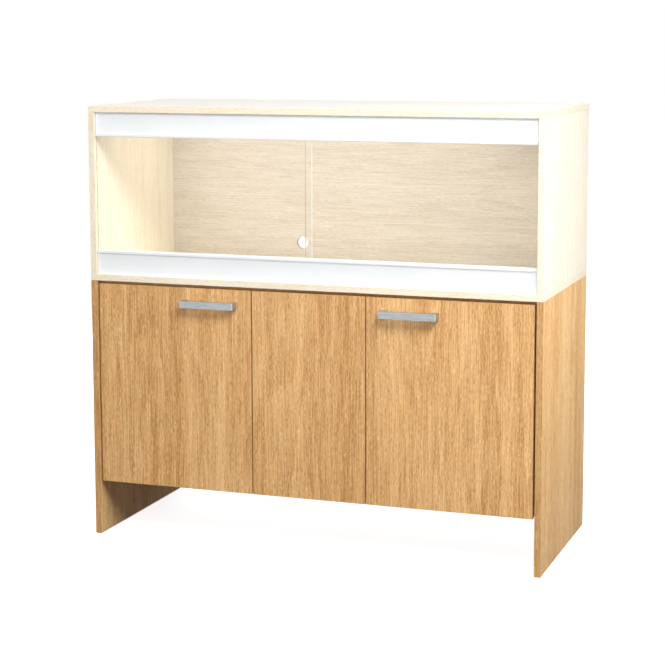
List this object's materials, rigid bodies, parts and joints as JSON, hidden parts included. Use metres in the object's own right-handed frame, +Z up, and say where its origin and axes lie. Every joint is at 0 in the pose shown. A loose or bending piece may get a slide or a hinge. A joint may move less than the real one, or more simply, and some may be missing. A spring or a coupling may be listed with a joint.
{
  "type": "terrarium cabinet",
  "caption": "Wide pale sliding-glass vivarium standing on a matching oak-finish cabinet with hinged doors, a fixed centre panel and flat metal bow handles.",
  "frame": {"origin": "on the floor, under the middle of the whole object's box, handles included", "axes": "+X to the right seen from the front, along the width; +Y towards the back; +Z up"},
  "size_m": [1.15, 0.505, 1.082],
  "materials": {
    "pale_board": "pale maple-effect melamine-faced board, satin",
    "oak_board": "oak-effect melamine-faced board, satin",
    "white_runner": "white extruded plastic, semi-gloss",
    "clear_glass": "clear float glass with polished edges",
    "hardboard": "thin oak-faced hardboard",
    "brushed_aluminium": "brushed, lengthwise",
    "plated_steel": "nickel-plated, satin",
    "beech_dowel": "raw, fluted"
  },
  "bodies": {
    "carcass": {"cabinet_back_panel": "hardboard", "cabinet_bottom_board": "oak_board", "cabinet_centre_panel": "oak_board", "cabinet_dowel_left_front_bottom": "beech_dowel", "cabinet_dowel_left_front_top": "beech_dowel", "cabinet_dowel_left_rear_bottom": "beech_dowel", "cabinet_dowel_left_rear_top": "beech_dowel", "cabinet_dowel_right_front_bottom": "beech_dowel", "cabinet_dowel_right_front_top": "beech_dowel", "cabinet_dowel_right_rear_bottom": "beech_dowel", "cabinet_dowel_right_rear_top": "beech_dowel", "cabinet_left_side": "oak_board", "cabinet_partition": "oak_board", "cabinet_right_side": "oak_board", "cabinet_top_board": "oak_board", "centre_panel_dowel_bottom": "beech_dowel", "centre_panel_dowel_top": "beech_dowel", "left_lower_hinge_arm": "plated_steel", "left_lower_hinge_plate": "plated_steel", "left_upper_hinge_arm": "plated_steel", "left_upper_hinge_plate": "plated_steel", "partition_dowel_bottom": "beech_dowel", "partition_dowel_top": "beech_dowel", "right_lower_hinge_arm": "plated_steel", "right_lower_hinge_plate": "plated_steel", "right_upper_hinge_arm": "plated_steel", "right_upper_hinge_plate": "plated_steel", "vivarium_back_panel": "pale_board", "vivarium_bottom_board": "pale_board", "vivarium_bottom_runner": "white_runner", "vivarium_dowel_left_front_bottom": "beech_dowel", "vivarium_dowel_left_front_top": "beech_dowel", "vivarium_dowel_left_rear_bottom": "beech_dowel", "vivarium_dowel_left_rear_top": "beech_dowel", "vivarium_dowel_right_front_bottom": "beech_dowel", "vivarium_dowel_right_front_top": "beech_dowel", "vivarium_dowel_right_rear_bottom": "beech_dowel", "vivarium_dowel_right_rear_top": "beech_dowel", "vivarium_left_side": "pale_board", "vivarium_right_side": "pale_board", "vivarium_top_board": "pale_board", "vivarium_top_runner": "white_runner"},
    "left_leaf": {"left_door": "oak_board", "left_handle": "brushed_aluminium", "left_handle_screw_inner": "plated_steel", "left_handle_screw_outer": "plated_steel", "left_lower_hinge_cup": "plated_steel", "left_upper_hinge_cup": "plated_steel"},
    "right_leaf": {"right_door": "oak_board", "right_handle": "brushed_aluminium", "right_handle_screw_inner": "plated_steel", "right_handle_screw_outer": "plated_steel", "right_lower_hinge_cup": "plated_steel", "right_upper_hinge_cup": "plated_steel"},
    "left_links": {"left_lower_hinge_link": "plated_steel", "left_upper_hinge_link": "plated_steel"},
    "right_links": {"right_lower_hinge_link": "plated_steel", "right_upper_hinge_link": "plated_steel"},
    "left_pane": {"left_glass": "clear_glass"},
    "right_pane": {"right_glass": "clear_glass"}
  },
  "joints": [
    {"name": "left_door_hinge", "type": "hinge", "parent": "carcass", "child": "left_leaf", "pos_m": [-0.549, -0.2185, 0.38875], "axis": [0, 0, -1], "range_deg": [0, 95]},
    {"name": "right_door_hinge", "type": "hinge", "parent": "carcass", "child": "right_leaf", "pos_m": [0.549, -0.2185, 0.38875], "axis": [0, 0, 1], "range_deg": [0, 95]},
    {"name": "left_link_pivot", "type": "hinge", "parent": "carcass", "child": "left_links", "pos_m": [-0.5402, -0.2032, 0.38875], "axis": [0, 0, -1], "range_deg": [0, 69]},
    {"name": "right_link_pivot", "type": "hinge", "parent": "carcass", "child": "right_links", "pos_m": [0.5402, -0.2032, 0.38875], "axis": [0, 0, 1], "range_deg": [0, 69]},
    {"name": "left_pane_slide", "type": "slide", "parent": "carcass", "child": "left_pane", "axis": [1, 0, 0], "range_m": [0, 0.548]},
    {"name": "right_pane_slide", "type": "slide", "parent": "carcass", "child": "right_pane", "axis": [-1, 0, 0], "range_m": [0, 0.548]}
  ],
  "couplings": [
    {"joint": "left_link_pivot", "follows": "left_door_hinge", "ratio": 0.7263},
    {"joint": "right_link_pivot", "follows": "right_door_hinge", "ratio": 0.7263}
  ]
}
